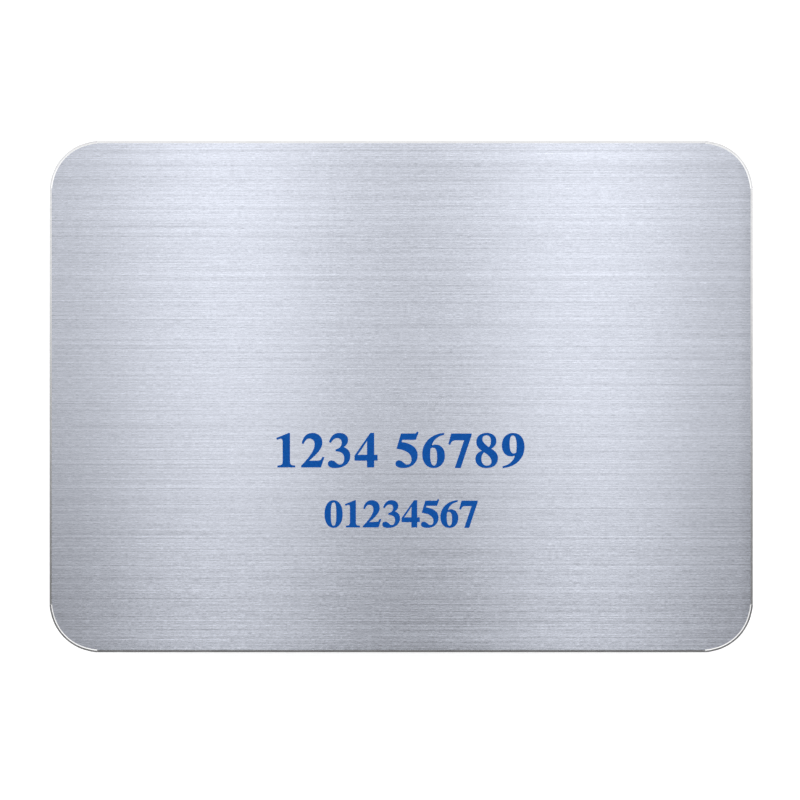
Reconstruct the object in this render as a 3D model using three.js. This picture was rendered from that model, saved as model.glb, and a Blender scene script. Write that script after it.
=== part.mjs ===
// Name badge: a brushed aluminium plate with rounded corners, and the magnet bar that holds it on cloth.
// Millimetres. The badge lies face up as it rests on a table: X runs along its long side,
// Y from its lower edge to its upper edge, and Z up. The origin is the middle of the bar's foot.
import * as THREE from "three";

// Plate, a 2 3/4 by 2 inch blank with 3/16 inch corners
const plateWidth = 69.85;
const plateHeight = 50.8;
const plateThickness = 1.5;
const plateCornerRadius = 4.76;
const plateFrontEdgeRadius = 0.28; // rounded edge round the face
const plateBackEdgeBreak = 0.12; // small chamfer round the back

// Magnet bar, one plain piece in the middle of the plate's back
const barLength = 45;
const barWidth = 13;
const barThickness = 4.5;
const barCornerRadius = 2.5;
const barFootEdgeRadius = 0.6; // rounded edge round the foot
const barTopEdgeBreak = 0.15; // small chamfer where it meets the plate

// Fineness of the facets
const cornerSteps = 16; // straight pieces in each corner's quarter turn
const edgeSteps = 4; // straight pieces across a rounded edge

const aluminium = new THREE.MeshStandardMaterial({ color: 0xc6cad5, roughness: 0.35, metalness: 1 });
const nickel = new THREE.MeshStandardMaterial({ color: 0xb9b8b4, roughness: 0.25, metalness: 1 });

// The points of a rounded rectangle that lies a distance inset inside the full one.
function roundedOutline(width, height, cornerRadius, inset) {
  const radius = cornerRadius - inset;
  const centreX = width / 2 - cornerRadius;
  const centreY = height / 2 - cornerRadius;
  const corners = [
    [centreX, centreY],
    [-centreX, centreY],
    [-centreX, -centreY],
    [centreX, -centreY],
  ];
  return corners.flatMap(([x, y], quarter) =>
    Array.from({ length: cornerSteps + 1 }, (_, step) => {
      const angle = (quarter + step / cornerSteps) * (Math.PI / 2);
      return [x + radius * Math.cos(angle), y + radius * Math.sin(angle)];
    }),
  );
}

// A closed body through a stack of outlines, each { z, inset }, listed from the lowest up.
function stackedBody(width, height, cornerRadius, levels) {
  const positions = [];
  const triangles = [];
  const pointsRound = 4 * (cornerSteps + 1);
  for (const { z, inset } of levels)
    for (const [x, y] of roundedOutline(width, height, cornerRadius, inset)) positions.push(x, y, z);

  for (let level = 0; level + 1 < levels.length; level++)
    for (let point = 0; point < pointsRound; point++) {
      const next = (point + 1) % pointsRound;
      const [a, b] = [level * pointsRound + point, level * pointsRound + next];
      const [c, d] = [a + pointsRound, b + pointsRound];
      triangles.push(a, b, d, a, d, c);
    }

  // Flat faces below and above, each a fan round its middle
  const bottomMiddle = positions.length / 3;
  positions.push(0, 0, levels[0].z, 0, 0, levels.at(-1).z);
  const topMiddle = bottomMiddle + 1;
  const topRow = (levels.length - 1) * pointsRound;
  for (let point = 0; point < pointsRound; point++) {
    const next = (point + 1) % pointsRound;
    triangles.push(bottomMiddle, next, point);
    triangles.push(topMiddle, topRow + point, topRow + next);
  }

  const geometry = new THREE.BufferGeometry();
  geometry.setAttribute("position", new THREE.Float32BufferAttribute(positions, 3));
  geometry.setIndex(triangles);
  geometry.computeVertexNormals();
  return geometry;
}

// Levels of a quarter-round edge that turns from the wall at z 0 to a flat face at z height.
function roundedEdge(radius, height) {
  return Array.from({ length: edgeSteps + 1 }, (_, step) => {
    const angle = (step / edgeSteps) * (Math.PI / 2);
    return { z: height - radius + radius * Math.sin(angle), inset: radius * (1 - Math.cos(angle)) };
  });
}

// The levels of a body turned upside down, so that its top edge becomes its foot edge.
const turnedOver = (levels, height) => levels.map(({ z, inset }) => ({ z: height - z, inset })).reverse();

function makePlate() {
  const levels = [
    { z: 0, inset: plateBackEdgeBreak },
    { z: plateBackEdgeBreak, inset: 0 },
    ...roundedEdge(plateFrontEdgeRadius, plateThickness),
  ];
  const plate = new THREE.Mesh(stackedBody(plateWidth, plateHeight, plateCornerRadius, levels), aluminium);
  plate.name = "face_plate";
  plate.position.z = barThickness;
  return plate;
}

function makeMagnetBar() {
  const levels = turnedOver(
    [
      { z: 0, inset: barTopEdgeBreak },
      { z: barTopEdgeBreak, inset: 0 },
      ...roundedEdge(barFootEdgeRadius, barThickness),
    ],
    barThickness,
  );
  const bar = new THREE.Mesh(stackedBody(barLength, barWidth, barCornerRadius, levels), nickel);
  bar.name = "magnet_bar";
  return bar;
}

const badge = new THREE.Group();
badge.add(makeMagnetBar(), makePlate());

export default badge;
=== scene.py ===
import math

import bmesh
import bpy
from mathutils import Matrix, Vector


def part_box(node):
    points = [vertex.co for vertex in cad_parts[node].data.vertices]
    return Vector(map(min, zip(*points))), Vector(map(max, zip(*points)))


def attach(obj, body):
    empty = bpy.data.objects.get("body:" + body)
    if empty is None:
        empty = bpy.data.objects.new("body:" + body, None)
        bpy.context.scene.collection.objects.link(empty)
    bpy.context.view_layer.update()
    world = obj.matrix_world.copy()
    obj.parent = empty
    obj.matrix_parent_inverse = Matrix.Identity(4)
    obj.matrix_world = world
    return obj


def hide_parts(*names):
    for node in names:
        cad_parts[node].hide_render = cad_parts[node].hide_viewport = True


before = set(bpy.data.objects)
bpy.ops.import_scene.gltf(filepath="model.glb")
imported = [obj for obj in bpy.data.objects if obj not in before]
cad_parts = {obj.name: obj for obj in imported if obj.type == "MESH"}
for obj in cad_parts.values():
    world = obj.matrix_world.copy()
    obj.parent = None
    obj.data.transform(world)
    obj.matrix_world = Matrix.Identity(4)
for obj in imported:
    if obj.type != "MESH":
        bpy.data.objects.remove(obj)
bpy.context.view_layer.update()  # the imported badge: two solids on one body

mm = 0.001
plateLow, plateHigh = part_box("face_plate")
barLow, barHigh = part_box("magnet_bar")


class Wire:  # one output socket; arithmetic on it adds Math nodes
    def __init__(self, socket):
        self.socket = socket
        self.tree = socket.id_data

    @staticmethod
    def add(tree, kind, settings={}, inputs={}, output=0):
        node = tree.nodes.new(kind)
        for name, value in settings.items():  # first, because a setting can change the sockets
            setattr(node, name, value)
        for name, value in inputs.items():
            if isinstance(value, Wire):
                tree.links.new(value.socket, node.inputs[name])
            else:
                node.inputs[name].default_value = value
        return Wire(node.outputs[output]) if node.outputs else node

    def maths(self, operation, *values):
        return Wire.add(self.tree, "ShaderNodeMath", {"operation": operation}, dict(enumerate(values)))

    def __add__(self, other):
        return self.maths("ADD", self, other)

    def __sub__(self, other):
        return self.maths("SUBTRACT", self, other)

    def __rsub__(self, other):
        return self.maths("SUBTRACT", other, self)

    def __mul__(self, other):
        return self.maths("MULTIPLY", self, other)

    __radd__ = __add__
    __rmul__ = __mul__

    def step(self, start, end, low=0.0, high=1.0):  # a soft step from low to high
        return Wire.add(
            self.tree,
            "ShaderNodeMapRange",
            {"interpolation_type": "SMOOTHSTEP"},
            {"Value": self, "From Min": start, "From Max": end, "To Min": low, "To Max": high},
        )


def mixColours(factor, first, second):  # a Mix node has its colours at 6, 7 and 2
    return Wire.add(factor.tree, "ShaderNodeMix", {"data_type": "RGBA"}, {0: factor, 6: first, 7: second}, 2)


def newMaterial(name):
    material = bpy.data.materials.new(name)
    material.use_nodes = True
    material.node_tree.nodes.clear()
    return material, material.node_tree


def useShader(tree, inputs):
    shader = Wire.add(tree, "ShaderNodeBsdfPrincipled", {}, inputs)
    Wire.add(tree, "ShaderNodeOutputMaterial", {}, {"Surface": shader})


# Long grains along X, in millimetres: how long they are, how far apart, where in the noise they start,
# and how much finer noise lies in them
def grain(tree, length, pitch, seed, detail=0.0):
    place = Wire.add(tree, "ShaderNodeTexCoord", output="Object")
    spread = Wire.add(
        tree,
        "ShaderNodeVectorMath",
        {"operation": "MULTIPLY_ADD"},
        {0: place, 1: (1 / (length * mm), 1 / (pitch * mm), 1 / (pitch * mm)), 2: (seed, seed, seed)},
    )
    noise = Wire.add(tree, "ShaderNodeTexNoise", {}, {"Vector": spread, "Scale": 1.0, "Detail": detail})
    return noise - 0.5


brushed = {
    "grooveColour": (0.280, 0.292, 0.328, 1),
    "ridgeColour": (0.732, 0.765, 0.860, 1),
    "grains": [  # length mm, pitch mm, weight
        (0.16, 0.047, 0.295),
        (0.35, 0.048, 0.40),
        (0.9, 0.052, 0.34),
        (3.0, 0.052, 0.21),
        (150.0, 0.052, 0.34),
        (14.0, 0.052, 0.18),
    ],
    "seedStep": 3.7,  # each grain starts this much further into the noise than the one before
    "scratch": (30.0, 0.075),  # the few long dark scratches among them
    "scratchSeed": 5.3,
    "scratchRange": (0.14, 0.26),
    "scratchDepth": 0.13,
    "deeperRange": (-24.0 * mm, -6.0 * mm),  # the brushing is deeper towards the lower edge
    "deeper": (1.60, 0.93),
    "middleRange": (7.0 * mm, 10.0 * mm),  # and a little deeper down the middle
    "middle": 1.22,
    "paintedShadeRange": (33.2 * mm, 34.75 * mm),  # painted shade: the face's colour is darkened close to its right edge
    "paintedShade": 0.14,
    "level": 0.5,  # where the face lies on average from the grooves' colour to the ridges'
    "roughness": 0.18,
    "roughnessChange": 0.12,
    "bump": 0.10,
    "bumpHeight": 0.002 * mm,
}


def makeBrushedAluminium():
    material, tree = newMaterial("brushed_aluminium")
    streaks = sum(
        weight * grain(tree, length, pitch, brushed["seedStep"] * number)
        for number, (length, pitch, weight) in enumerate(brushed["grains"], 1)
    )
    scratches = grain(tree, *brushed["scratch"], brushed["scratchSeed"])
    scratches = scratches.step(*brushed["scratchRange"], 0, brushed["scratchDepth"])
    place = Wire.add(tree, "ShaderNodeTexCoord", output="Object")
    x, y = [Wire.add(tree, "ShaderNodeSeparateXYZ", {}, {0: place}, axis) for axis in range(2)]
    depth = y.step(*brushed["deeperRange"], *brushed["deeper"])
    depth = depth * x.maths("ABSOLUTE", x).step(*brushed["middleRange"], brushed["middle"], 1)
    streaks = (streaks - scratches) * depth
    # the last step darkens the face's colour near its right edge: painted shade
    shade = streaks + brushed["level"] - x.step(*brushed["paintedShadeRange"], 0, brushed["paintedShade"])
    useShader(tree, {
        "Base Color": mixColours(shade, brushed["grooveColour"], brushed["ridgeColour"]),
        "Metallic": 1.0,
        "Roughness": brushed["roughness"] - brushed["roughnessChange"] * streaks,
        "Anisotropic": 1.0,
        "Anisotropic Rotation": 0.25,  # the grooves run along X, so the gloss spreads along Y
        "Tangent": Wire.add(tree, "ShaderNodeTangent", {"direction_type": "UV_MAP", "uv_map": "face"}),
        "Normal": Wire.add(tree, "ShaderNodeBump", {}, {
            "Strength": brushed["bump"],
            "Distance": brushed["bumpHeight"],
            "Height": streaks,
        }),
    })
    return material


# The plate's plainer metal surfaces: a mottled grain between two colours.
# wear is the length and pitch of the grain
plainMetals = {
    "polished_edge": {
        "low": (0.84, 0.84, 0.85, 1),
        "high": (0.90, 0.90, 0.905, 1),
        "wear": (2.0, 0.4),
        "roughness": 0.10,
        "roughnessChange": 0.08,
    },
    "corner_edge": {
        "low": (0.78, 0.78, 0.79, 1),
        "high": (0.84, 0.84, 0.85, 1),
        "wear": (0.5, 0.5),
        "roughness": 0.10,
        "roughnessChange": 0.08,
    },
    "bright_corner_lip": {
        "low": (0.84, 0.84, 0.85, 1),
        "high": (0.90, 0.90, 0.905, 1),
        "wear": (0.5, 0.5),
        "roughness": 0.35,
        "roughnessChange": 0.1,
    },
    "sawn_wall": {
        "low": (0.40, 0.40, 0.41, 1),
        "high": (0.47, 0.47, 0.48, 1),
        "wear": (2.5, 0.12),
        "roughness": 0.36,
        "roughnessChange": 0.12,
    },
    "mill_back": {
        "low": (0.50, 0.51, 0.53, 1),
        "high": (0.66, 0.67, 0.69, 1),
        "wear": (6.0, 0.5),
        "roughness": 0.42,
        "roughnessChange": 0.2,
    },
}
wearing = {"seedStep": 1.3, "detail": 2.0, "range": (-0.2, 0.2)}


def makePlainMetal(name, seed):
    look = plainMetals[name]
    material, tree = newMaterial(name)
    wear = grain(tree, *look["wear"], seed, wearing["detail"])
    useShader(tree, {
        "Base Color": mixColours(wear.step(*wearing["range"]), look["low"], look["high"]),
        "Metallic": 1.0,
        "Roughness": look["roughness"] + wear * look["roughnessChange"],
    })
    return material


# One point of a rounded rectangle's outline, counterclockwise from its right side, a distance inset
# inside it. Each corner has steps + 1 points, and the straight sides lie between the last point of one
# corner and the first of the next
def outlinePoint(low, high, cornerRadius, steps, number, inset):
    quarter, step = divmod(number, steps + 1)
    signX, signY = [(1, 1), (-1, 1), (-1, -1), (1, -1)][int(quarter)]
    centreX = (low.x + high.x) / 2 + signX * ((high.x - low.x) / 2 - cornerRadius)
    centreY = (low.y + high.y) / 2 + signY * ((high.y - low.y) / 2 - cornerRadius)
    angle = (quarter + step / steps) * math.pi / 2
    reach = cornerRadius - inset
    return centreX + reach * math.cos(angle), centreY + reach * math.sin(angle)


# A closed body through rings of points, from the lowest up. looks has the number of the material of the
# foot, of each band between two rings, and of the top; a band's can go by the point's number. creases has,
# for each band, the steps of a corner where its shading breaks
def stackRings(name, rings, cornerSteps, looks, sharpRings, creases):
    build = bmesh.new()
    rows = [[build.verts.new(point) for point in ring] for ring in rings]
    around = len(rows[0])
    build.faces.new(reversed(rows[0])).material_index = looks[0]
    for level, (lower, upper) in enumerate(zip(rows, rows[1:])):
        look = looks[level + 1]
        for number in range(around):
            after = (number + 1) % around
            band = build.faces.new([lower[number], lower[after], upper[after], upper[number]])
            band.material_index = look(number) if callable(look) else look
    build.faces.new(rows[-1]).material_index = looks[-1]
    for band in build.faces:
        band.smooth = True
    for level in sharpRings:
        for number in range(around):
            build.edges.get([rows[level][number], rows[level][(number + 1) % around]]).smooth = False
    for lower, upper, breaks in zip(rows, rows[1:], creases):
        for number in range(around):
            if number % (cornerSteps + 1) in breaks:
                build.edges.get([lower[number], upper[number]]).smooth = False
    layer = build.loops.layers.uv.new("face")
    for band in build.faces:
        for loop in band.loops:
            loop[layer].uv = (loop.vert.co.xy - plateLow.xy) / (plateHigh.x - plateLow.x)
    mesh = bpy.data.meshes.new(name)
    build.to_mesh(mesh)
    build.free()
    piece = bpy.data.objects.new(name, mesh)
    bpy.context.scene.collection.objects.link(piece)
    return piece


plate = {
    "cornerRadius": 4.76 * mm,
    "cornerSteps": 64,
    "backBreak": 0.12 * mm,
    "bevelWidth": 0.26 * mm,  # the polished bevel round the face, seen from the front
    "bevelSlope": math.radians(37),
    "cornerBevelWidth": 0.195 * mm,  # at the corners it is narrower and rises to a bright lip
    "cornerBevelSlope": math.radians(36),
    "lipWidth": 0.105 * mm,
    "lipSlope": math.radians(6.5),  # down towards the face
    "cornerInset": 0.045 * mm,  # how much the corners are dressed back
    "cornerRamp": 8,  # over how many steps
    "cornerWear": 0.058 * mm,  # and how much more of their middle is worn away
    "cornerJoin": 0.1,  # how soon their own bevel begins after a straight side, in steps
    "inkHeight": 0.02 * mm,  # the face lies this far under the top of the print
}


def makePlate():
    steps = plate["cornerSteps"]
    faceZ = plateHigh.z - plate["inkHeight"]
    # the first and last points inside a corner move close to the straight sides
    shifts = {1: plate["cornerJoin"] - 1, steps - 1: 1 - plate["cornerJoin"]}

    def dressed(step):  # how far a corner is dressed back and worn at one of its steps
        ramp = min(step, steps - step) / plate["cornerRamp"]
        return plate["cornerInset"] * min(ramp, 1) + plate["cornerWear"] * math.sin(step / steps * math.pi)

    # inset and depth under the face, on a straight side with its ends and inside a corner
    def ring(straight, corner):
        points = []
        for number in range(4 * (steps + 1)):
            step = number % (steps + 1)
            shift = shifts.get(step, 0)
            inset, depth = straight if step in (0, steps) else corner
            inset += dressed(step + shift)
            x, y = outlinePoint(plateLow, plateHigh, plate["cornerRadius"], steps, number + shift, inset)
            points.append((x, y, faceZ - depth))
        return points

    thickness = faceZ - plateLow.z
    foot = (plate["backBreak"], thickness)
    wallFoot = (0, thickness - plate["backBreak"])
    bevelWidth = plate["bevelWidth"]
    bevelDepth = bevelWidth * math.tan(plate["bevelSlope"])
    lipEdge = plate["cornerBevelWidth"]
    lipHeight = plate["lipWidth"] * math.tan(plate["lipSlope"])
    lipDepth = lipEdge * math.tan(plate["cornerBevelSlope"]) - lipHeight
    rings = [
        ring(foot, foot),
        ring(wallFoot, wallFoot),
        ring((0, bevelDepth), (0, lipDepth)),
        ring((bevelWidth, 0), (lipEdge, -lipHeight)),
        ring((bevelWidth + plate["lipWidth"], 0), (lipEdge + plate["lipWidth"], 0)),
    ]

    finishes = ["brushed_aluminium", *plainMetals]

    def banded(straight, corner):  # one finish on the straight sides and one in the corners
        return lambda number: finishes.index(corner if number % (steps + 1) < steps else straight)

    looks = [
        finishes.index("mill_back"),
        finishes.index("sawn_wall"),
        finishes.index("sawn_wall"),
        banded("polished_edge", "corner_edge"),
        banded("brushed_aluminium", "bright_corner_lip"),
        finishes.index("brushed_aluminium"),
    ]
    creases = 2 * [(0, steps)] + 2 * [(0, 1, steps - 1, steps)]
    piece = stackRings("badge_plate", rings, steps, looks, range(len(rings)), creases)
    piece.data.materials.append(makeBrushedAluminium())
    for number, name in enumerate(plainMetals, 1):
        piece.data.materials.append(makePlainMetal(name, wearing["seedStep"] * number))
    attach(piece, "root")
    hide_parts("face_plate")


bar = {
    "cornerRadius": 2.5 * mm,
    "footRadius": 0.6 * mm,
    "topBreak": 0.15 * mm,
    "cornerSteps": 24,
    "roundSteps": 8,
    "low": (0.51, 0.50, 0.48, 1),
    "high": (0.58, 0.57, 0.55, 1),
    "cloud": (3.0, 3.0, 2.1, 4.0),  # clouds in the plating: length mm, pitch mm, seed and detail
    "cloudShare": 0.6,
    "scuff": (1.2, 0.12, 6.4, 1.0),  # and fine scuffs on it
    "scuffShare": 0.4,
    "mottleRange": (-0.25, 0.25),
    "roughness": 0.28,
    "cloudRoughness": 0.15,
    "scuffRoughness": 0.1,
    "bump": 0.15,
    "bumpHeight": 0.01 * mm,
}


def makeSatinNickel():
    material, tree = newMaterial("satin_nickel")
    cloud = grain(tree, *bar["cloud"])
    scuff = grain(tree, *bar["scuff"])
    mottle = (cloud * bar["cloudShare"] + scuff * bar["scuffShare"]).step(*bar["mottleRange"])
    useShader(tree, {
        "Base Color": mixColours(mottle, bar["low"], bar["high"]),
        "Metallic": 1.0,
        "Roughness": bar["roughness"] + cloud * bar["cloudRoughness"] + scuff * bar["scuffRoughness"],
        "Normal": Wire.add(tree, "ShaderNodeBump", {}, {
            "Strength": bar["bump"],
            "Distance": bar["bumpHeight"],
            "Height": scuff,
        }),
    })
    return material


def makeMagnetBar():
    radius = bar["footRadius"]
    levels = []  # inset and height of each ring, from the rounded edge of the foot up
    for step in range(bar["roundSteps"] + 1):
        angle = step / bar["roundSteps"] * math.pi / 2
        levels.append((radius * (1 - math.sin(angle)), barLow.z + radius * (1 - math.cos(angle))))
    levels += [(0, barHigh.z - bar["topBreak"]), (bar["topBreak"], barHigh.z)]
    steps = bar["cornerSteps"]
    rings = [
        [(*outlinePoint(barLow, barHigh, bar["cornerRadius"], steps, number, inset), z)
         for number in range(4 * (steps + 1))]
        for inset, z in levels
    ]
    looks = [0] * (len(rings) + 1)
    creases = [(0, steps)] * (len(rings) - 1)
    piece = stackRings("bar_magnet", rings, steps, looks, [0, len(rings) - 2, len(rings) - 1], creases)
    piece.data.materials.append(makeSatinNickel())
    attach(piece, "root")
    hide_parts("magnet_bar")


# Plain bold digits with serifs, a thousandth of an em to a unit, the baseline at 0.
# A loop is its first point and then its lines (x, y) and curves (handle, handle, end)
digitWidth = 500
turnedHeight = 674  # a point's height and its height once it is turned add up to this
digitSix = [
    [(460, 688), (458, 664), (335, 640, 232, 560, 196, 414), (226, 438, 256, 450, 292, 450),
     (404, 450, 474, 362, 474, 232), (474, 88, 384, -13, 254, -13), (114, -13, 28, 96, 28, 266),
     (28, 482, 190, 664, 460, 688)],
    [(182, 376), (176, 330, 173, 288, 173, 240), (173, 100, 205, 22, 257, 22), (308, 22, 332, 80, 332, 200),
     (332, 338, 302, 404, 244, 404), (220, 404, 200, 396, 182, 376)],
]


def turned(loops):  # the same loops upside down, for a nine
    sums = (digitWidth, turnedHeight)
    return [
        [tuple(sums[number % 2] - value for number, value in enumerate(part)) for part in loop]
        for loop in loops
    ]


digits = {
    "0": [
        [(250, 688), (388, 688, 476, 545, 476, 337), (476, 130, 388, -13, 250, -13),
         (112, -13, 24, 130, 24, 337), (24, 545, 112, 688, 250, 688)],
        [(250, 652), (312, 652, 332, 560, 332, 337), (332, 114, 312, 23, 250, 23),
         (188, 23, 168, 114, 168, 337), (168, 560, 188, 652, 250, 652)],
    ],
    "1": [
        [(318, 688), (318, 128), (318, 50, 338, 26, 424, 24), (424, 0), (78, 0), (78, 24),
         (164, 26, 184, 50, 184, 128), (184, 500), (184, 560, 172, 584, 138, 584),
         (118, 584, 96, 578, 66, 564), (56, 586), (300, 688)],
    ],
    "2": [
        [(20, 0), (408, 0), (476, 196), (448, 196), (424, 138, 406, 124, 346, 124), (162, 124),
         (240, 196), (372, 318, 436, 402, 436, 502), (436, 612, 352, 688, 242, 688),
         (136, 688, 58, 620, 32, 486), (56, 478), (84, 552, 124, 588, 178, 588),
         (248, 588, 294, 540, 294, 462), (294, 352, 206, 214, 20, 24)],
    ],
    "3": [
        [(46, 512), (80, 628, 150, 688, 246, 688), (350, 688, 418, 632, 418, 550),
         (418, 486, 382, 438, 318, 408), (414, 374, 464, 314, 464, 224), (464, 84, 342, -13, 168, -13),
         (76, -13, 22, 14, 22, 62), (22, 102, 50, 128, 88, 128), (120, 128, 146, 114, 184, 78),
         (208, 54, 228, 42, 254, 42), (314, 42, 356, 94, 356, 172), (356, 270, 296, 326, 178, 328),
         (178, 352), (260, 372, 304, 424, 304, 500), (304, 558, 268, 596, 208, 596),
         (148, 596, 106, 566, 72, 502)],
    ],
    "4": [
        [(408, 688), (342, 688), (24, 232), (24, 142), (278, 142), (278, 0), (408, 0), (408, 142),
         (476, 142), (476, 242), (408, 242)],
        [(278, 242), (68, 242), (278, 546)],
    ],
    "5": [
        [(136, 676), (428, 676), (462, 716), (478, 704), (426, 562), (152, 562), (130, 502),
         (338, 480, 462, 390, 462, 240), (462, 92, 344, -13, 180, -13), (82, -13, 24, 18, 24, 68),
         (24, 104, 50, 128, 88, 128), (120, 128, 146, 114, 184, 78), (208, 54, 230, 42, 256, 42),
         (314, 42, 352, 86, 352, 152), (352, 276, 242, 354, 48, 380)],
    ],
    "6": digitSix,
    "7": [
        [(74, 676), (478, 676), (478, 652), (256, -13), (152, -13), (342, 552), (166, 552),
         (96, 552, 72, 532, 44, 462), (18, 470)],
    ],
    "8": [
        [(250, 688), (366, 688, 440, 626, 440, 532), (440, 462, 402, 412, 330, 372),
         (426, 320, 472, 262, 472, 182), (472, 62, 386, -13, 250, -13), (114, -13, 28, 56, 28, 164),
         (28, 244, 74, 294, 166, 332), (82, 384, 46, 438, 46, 512), (46, 618, 126, 688, 250, 688)],
        [(298, 396), (332, 434, 344, 474, 344, 528), (344, 608, 310, 654, 246, 654),
         (190, 654, 154, 622, 154, 574), (154, 508, 214, 450, 298, 396)],
        [(196, 310), (152, 268, 134, 224, 134, 170), (134, 80, 180, 21, 254, 21),
         (318, 21, 356, 58, 356, 114), (356, 188, 290, 250, 196, 310)],
    ],
    "9": turned(digitSix),
}

printing = {
    "capHeight": 676,
    "spaceWidth": 250,
    "lines": [  # text, height of a capital, width, and middle and baseline from the badge's middle, in mm
        ("1234 56789", 3.29, 24.95, -0.14, -6.99),
        ("01234567", 2.58, 15.30, -0.01, -12.94),
    ],
    "weight": 0.042 * mm,  # the outlines are pushed out this far
    "sharpest": 1.6,  # and at most this many times as far at a sharp corner
    "sunk": 0.004 * mm,
    "curveSteps": 8,
    "weld": 0.0005 * mm,
    "straight": math.radians(0.5),  # edges that turn less than this are one
    "wallTilt": 0.5,  # a face whose normal rises or falls less than this is a side wall
    "low": (0.0048, 0.080, 0.358, 1),
    "high": (0.0078, 0.104, 0.441, 1),
    "patches": (0.25, 0.12, 9.2, 2.0),  # patches in the ink: length mm, pitch mm, seed and detail
    "patchRange": (-0.2, 0.2),
    "roughness": 0.55,
    "roughnessChange": 0.2,
    "gloss": 0.03,
    "bump": 0.1,
    "bumpHeight": 0.004 * mm,
}


def makeBlueInk():
    material, tree = newMaterial("blue_ink")
    patches = grain(tree, *printing["patches"])
    useShader(tree, {
        "Base Color": mixColours(patches.step(*printing["patchRange"]), printing["low"], printing["high"]),
        "Roughness": printing["roughness"] + patches * printing["roughnessChange"],
        "Specular IOR Level": printing["gloss"],
        "Normal": Wire.add(tree, "ShaderNodeBump", {}, {
            "Strength": printing["bump"],
            "Distance": printing["bumpHeight"],
            "Height": patches,
        }),
    })
    return material


def addLoop(curve, loop, place):  # one closed line of a digit as a Bezier spline
    ends = [Vector(part[-2:]) for part in loop]
    before = [part if len(part) == 6 else None for part in loop]  # the stretch that arrives at each point
    if ends[-1] == ends[0]:
        before[0] = before.pop()
        ends.pop()
    spline = curve.splines.new("BEZIER")
    spline.bezier_points.add(len(ends) - 1)
    spline.use_cyclic_u = True
    for number, point in enumerate(spline.bezier_points):
        arriving, leaving = before[number], before[(number + 1) % len(ends)]
        last, following = ends[number - 1], ends[(number + 1) % len(ends)]
        point.handle_left_type = point.handle_right_type = "FREE"
        point.co = place(ends[number])
        point.handle_left = place(Vector(arriving[2:4]) if arriving else ends[number].lerp(last, 1 / 3))
        point.handle_right = place(Vector(leaving[:2]) if leaving else ends[number].lerp(following, 1 / 3))


def makePrint():
    curve = bpy.data.curves.new("blue_numbers", "CURVE")
    curve.dimensions = "2D"
    curve.fill_mode = "BOTH"
    curve.resolution_u = printing["curveSteps"]
    thickness = plate["inkHeight"] + printing["sunk"]
    curve.extrude = thickness / 2
    for text, capHeight, width, middle, baseline in printing["lines"]:
        unit = capHeight * mm / printing["capHeight"]
        advances = [printing["spaceWidth"] if sign == " " else digitWidth for sign in text]
        spare = (width * mm / unit - sum(advances)) / (len(text) - 1)  # a little space between digits
        along = -width * mm / unit / 2
        for sign, advance in zip(text, advances):
            for loop in digits.get(sign, []):
                addLoop(curve, loop, lambda point: (
                    middle * mm + (along + point.x) * unit,
                    baseline * mm + point.y * unit,
                    0,
                ))
            along += advance + spare
    shape = bpy.data.objects.new("shape", curve)
    bpy.context.scene.collection.objects.link(shape)
    bpy.context.view_layer.update()
    mesh = bpy.data.meshes.new_from_object(shape.evaluated_get(bpy.context.evaluated_depsgraph_get()))
    bpy.data.objects.remove(shape)
    build = bmesh.new()
    build.from_mesh(mesh)
    bmesh.ops.remove_doubles(build, verts=build.verts, dist=printing["weld"])
    bmesh.ops.dissolve_limit(build, angle_limit=printing["straight"], verts=build.verts, edges=build.edges)
    bmesh.ops.translate(build, verts=build.verts, vec=(0, 0, plateHigh.z - thickness / 2))
    bmesh.ops.recalc_face_normals(build, faces=build.faces)
    for vert in build.verts:
        walls = [face.normal for face in vert.link_faces if abs(face.normal.z) < printing["wallTilt"]]
        outwards = sum(walls, Vector())
        reach = min(len(walls) / outwards.length, printing["sharpest"])  # further at a corner
        vert.co += outwards.normalized() * reach * printing["weight"]
    bmesh.ops.triangulate(build, faces=build.faces)
    for face in build.faces:
        face.smooth = False
    build.to_mesh(mesh)
    build.free()
    mesh.name = "blue_numbers"
    piece = bpy.data.objects.new("blue_numbers", mesh)
    bpy.context.scene.collection.objects.link(piece)
    piece.data.materials.clear()
    piece.data.materials.append(makeBlueInk())
    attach(piece, "root")


floor = {
    "size": 3.0,
    "squares": 4,
    "low": (0.79, 0.79, 0.79, 1),
    "high": (0.81, 0.81, 0.81, 1),
    "clouds": (40.0, 40.0, 4.4, 2.0),  # length mm, pitch mm, seed and detail
    "level": 0.5,  # where it lies on average between its two colours
    "roughness": 0.9,
    "glow": 0.56,
}


def makeFloor():
    build = bmesh.new()
    squares = floor["squares"]
    bmesh.ops.create_grid(build, x_segments=squares, y_segments=squares, size=floor["size"])
    mesh = bpy.data.meshes.new("pale_floor")
    build.to_mesh(mesh)
    build.free()
    piece = bpy.data.objects.new("pale_floor", mesh)
    bpy.context.scene.collection.objects.link(piece)
    material, tree = newMaterial("pale_floor")
    clouds = grain(tree, *floor["clouds"])
    useShader(tree, {
        "Base Color": mixColours(clouds + floor["level"], floor["low"], floor["high"]),
        "Roughness": floor["roughness"],
        "Specular IOR Level": 0.0,
        "Emission Color": (1, 1, 1, 1),
        "Emission Strength": floor["glow"],
    })
    mesh.materials.append(material)


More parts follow.
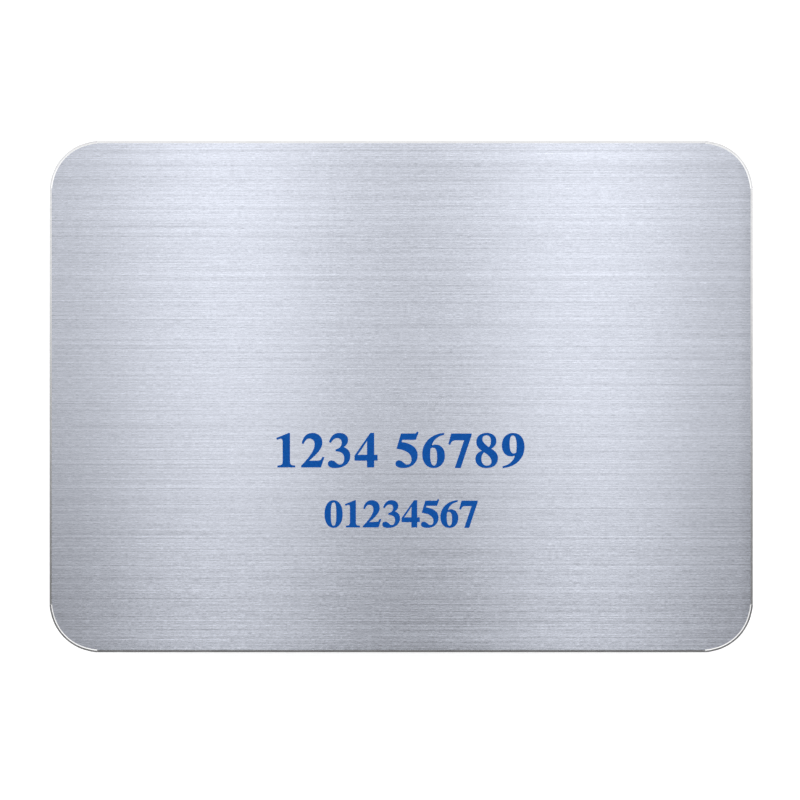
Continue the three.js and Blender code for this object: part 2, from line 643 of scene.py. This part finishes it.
# The studio: bright overhead and behind the badge's upper edge, darker on the near side, with two long soft
# strips straight above, and a low ring that is light behind the badge and dark before it. Angles are in
# radians from straight up
studio = {
    "dark": 0.10,
    "bright": 1.475,
    "fade": (-0.47, 0.10),  # from dark to bright, along Y
    "lean": 0.03,  # a little more light from the right
    "nearLight": 0.7,  # lower down on the near side it is lighter again
    "nearFade": (-1.05, -0.70),
    "farLight": 0.72,  # and lower down behind the badge it is darker
    "farFade": (0.70, 1.10),
    "stripDepth": 0.208,
    "stripSpacing": 0.2444,
    "stripShift": 0.0036,
    "stripsEnd": (0.30, 0.36),
    "sideDip": 0.156,  # a little darker outside the strips
    "dipStart": (0.14, 0.26),
    "dipEnd": (0.34, 0.40),
    "ringTop": (0.13, 0.19),  # as the height of the direction, 0 at the horizon
    "ringMiddle": 0.545,
    "ringSwing": 0.385,
    "ringTurn": 10.0,
    "ringShift": 0.011,
    "least": 0.02,
    "horizon": 0.001,  # the least height of a direction when its angles are worked out
    "backdrop": 1.0,
}


def makeStudio():
    world = bpy.data.worlds.new("studio")
    bpy.context.scene.world = world
    world.use_nodes = True
    tree = world.node_tree
    tree.nodes.clear()
    direction = Wire.add(tree, "ShaderNodeTexCoord", output="Generated")
    x, y, z = [Wire.add(tree, "ShaderNodeSeparateXYZ", {}, {0: direction}, axis) for axis in range(3)]
    height = z.maths("MAXIMUM", z, studio["horizon"])
    side = x.maths("ARCTAN2", x, height)
    across = side.maths("ABSOLUTE", side)
    upwards = y.maths("ARCTAN2", y, height) + studio["lean"] * side

    fall = upwards.step(*studio["fade"], studio["dark"], studio["bright"])
    fall = fall + upwards.step(*studio["nearFade"], studio["nearLight"], 0)
    fall = fall - upwards.step(*studio["farFade"], 0, studio["bright"] - studio["farLight"])
    wave = (side - studio["stripShift"]) * (2 * math.pi / studio["stripSpacing"])
    strips = studio["stripDepth"] * wave.maths("COSINE", wave) * across.step(*studio["stripsEnd"], 1, 0)
    dip = studio["sideDip"] * across.step(*studio["dipStart"]) * across.step(*studio["dipEnd"], 1, 0)
    overhead = fall - strips - dip
    turn = (y - studio["ringShift"]) * studio["ringTurn"]
    ring = studio["ringMiddle"] + studio["ringSwing"] * turn.maths("TANH", turn)
    above = z.step(*studio["ringTop"])
    light = overhead.maths("MAXIMUM", overhead, studio["least"]) * above + ring * (1 - above)

    seen = Wire.add(tree, "ShaderNodeLightPath", output="Is Camera Ray")
    sky = Wire.add(tree, "ShaderNodeBackground", {}, {
        "Color": (1, 1, 1, 1),
        "Strength": light * (1 - seen) + studio["backdrop"] * seen,
    })
    Wire.add(tree, "ShaderNodeOutputWorld", {}, {"Surface": sky})


# The camera looks straight down. The photograph is 800 pixels wide and high
photo = {
    "width": 800,
    "pixelsPerMm": 10.082,
    "badgeMiddle": (401.18, 396.57),
    "distance": 150 * mm,
    "sensor": 36.0,
    "clip": (1 * mm, 20.0),  # how near and how far the camera sees
}


def makeCamera():
    data = bpy.data.cameras.new("camera")
    camera = bpy.data.objects.new("camera", data)
    bpy.context.scene.collection.objects.link(camera)
    across = photo["width"] / photo["pixelsPerMm"] * mm
    data.sensor_width = photo["sensor"]
    data.lens = photo["sensor"] * photo["distance"] / across
    data.clip_start, data.clip_end = photo["clip"]
    offX = (photo["width"] / 2 - photo["badgeMiddle"][0]) / photo["pixelsPerMm"] * mm
    offY = (photo["badgeMiddle"][1] - photo["width"] / 2) / photo["pixelsPerMm"] * mm
    camera.location = (offX, offY, plateHigh.z + photo["distance"])
    bpy.context.scene.camera = camera


makeCamera()
print("camera set")
makePlate()
print("plate made")
makeMagnetBar()
print("magnet bar made")
makePrint()
print("numbers printed")
makeFloor()
makeStudio()
bpy.context.scene.view_settings.view_transform = "Standard"
print("floor and light set")
